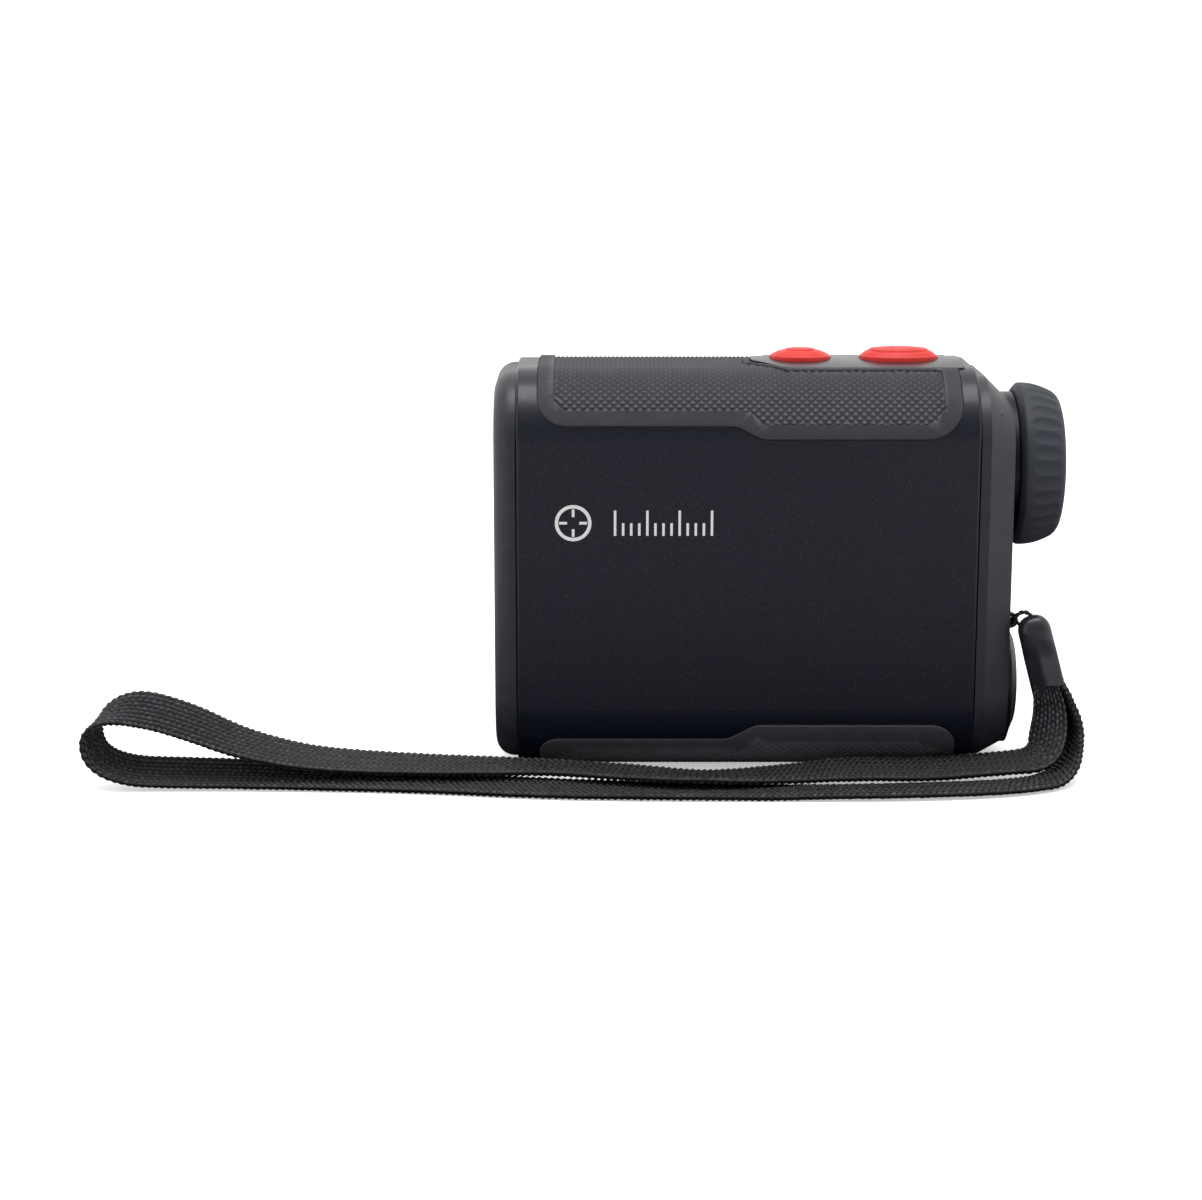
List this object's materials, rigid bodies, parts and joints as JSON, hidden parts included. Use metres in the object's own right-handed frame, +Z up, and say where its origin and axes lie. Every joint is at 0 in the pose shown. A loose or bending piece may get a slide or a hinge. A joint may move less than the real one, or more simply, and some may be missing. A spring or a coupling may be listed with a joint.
{
  "type": "laser rangefinder",
  "caption": "Upright pocket laser rangefinder with knurled grips, domed push buttons, turning eyepiece, screw battery cap and a flat braided wrist strap.",
  "frame": {"origin": "on the ground under the middle of the housing, eyepiece and objective ends equally far", "axes": "+X from the objective to the eyepiece, +Z up to the buttons, -Y the side with the lanyard eye"},
  "size_m": [0.1831, 0.052, 0.0772],
  "materials": {
    "shell_paint": "fine metallic-flake satin paint",
    "bezel_plastic": "satin moulded",
    "grip_rubber": "matt, knurled",
    "deck_plastic": "smooth satin",
    "button_red": "satin",
    "eyepiece_rubber": "matt, fluted",
    "cap_plastic": "satin moulded",
    "black_aluminium": "black anodised",
    "lens_glass": "coated, polished",
    "prism_glass": "polished",
    "screen_glass": "clear display",
    "frame_plastic": "moulded, plain",
    "board_green": "solder mask",
    "chip_black": "matt",
    "flex_amber": "film",
    "seal_rubber": "matt",
    "screw_steel": "zinc plated",
    "spring_steel": "bright",
    "contact_brass": "plated",
    "cell_can": "plain sleeve",
    "connector_plastic": "glossy moulded",
    "strap_braid": "tubular nylon braid",
    "thin_cord": "twisted nylon"
  },
  "bodies": {
    "housing": {"left_shell": "shell_paint", "right_shell": "shell_paint", "front_bezel": "bezel_plastic", "rear_cap": "bezel_plastic", "top_grip": "grip_rubber", "bottom_grip": "grip_rubber", "button_deck": "deck_plastic", "button_seal": "seal_rubber", "switch_board": "board_green", "tact_switches": "chip_black", "chassis": "frame_plastic", "bezel_screws": "screw_steel", "rear_cap_screws": "screw_steel", "board_screws": "screw_steel", "objective_barrel": "black_aluminium", "objective_crown_lens": "lens_glass", "objective_flint_lens": "lens_glass", "objective_retainer": "black_aluminium", "prism_carrier": "frame_plastic", "prism_cover": "frame_plastic", "half_prism": "prism_glass", "roof_prism": "prism_glass", "receiver_diode": "screw_steel", "display_frame": "frame_plastic", "display_screen": "screen_glass", "eyepiece_tube": "black_aluminium", "eyepiece_o_ring": "seal_rubber", "laser_barrel": "black_aluminium", "laser_lens": "lens_glass", "laser_retainer": "black_aluminium", "laser_diode": "contact_brass", "laser_board": "board_green", "main_board": "board_green", "board_chips": "chip_black", "flex_cable": "flex_amber", "battery_sleeve": "frame_plastic", "battery": "cell_can", "battery_contact": "contact_brass", "strap_connector": "connector_plastic", "wrist_strap": "strap_braid", "lanyard_loop": "thin_cord"},
    "fire": {"fire_button": "button_red", "fire_plunger": "frame_plastic"},
    "mode": {"mode_button": "button_red", "mode_plunger": "frame_plastic"},
    "diopter": {"diopter_ring": "black_aluminium", "eyepiece_rubber": "eyepiece_rubber"},
    "ocular": {"ocular_cell": "black_aluminium", "field_lens": "lens_glass", "eye_lens": "lens_glass", "ocular_spacer": "black_aluminium", "ocular_retainer": "black_aluminium"},
    "cap_seal": {"cap_o_ring": "seal_rubber"},
    "cap": {"battery_cap": "cap_plastic", "battery_spring": "spring_steel"}
  },
  "joints": [
    {"name": "fire_button_press", "type": "slide", "parent": "housing", "child": "fire", "axis": [0, 0, -1], "range_m": [0, 0.0005], "stiffness_N_per_m": 3000, "springref_m": -0.0002},
    {"name": "mode_button_press", "type": "slide", "parent": "housing", "child": "mode", "axis": [0, 0, -1], "range_m": [0, 0.0005], "stiffness_N_per_m": 3000, "springref_m": -0.0002},
    {"name": "diopter_turn", "type": "hinge", "parent": "housing", "child": "diopter", "pos_m": [0.0455, 0, 0.0553], "axis": [1, 0, 0], "range_deg": [-120, 120]},
    {"name": "ocular_travel", "type": "slide", "parent": "housing", "child": "ocular", "axis": [1, 0, 0], "range_m": [-0.0013, 0.0013]},
    {"name": "cap_travel", "type": "slide", "parent": "housing", "child": "cap_seal", "axis": [1, 0, 0], "range_m": [0, 0.0045]},
    {"name": "cap_turn", "type": "hinge", "parent": "cap_seal", "child": "cap", "pos_m": [0.043, 0, 0.0141], "axis": [1, 0, 0], "range_deg": [0, 1092]}
  ],
  "couplings": [
    {"joint": "ocular_travel", "follows": "diopter_turn", "m_per_rad": 0.00057},
    {"joint": "cap_turn", "follows": "cap_travel", "rad_per_m": 4188.8}
  ]
}
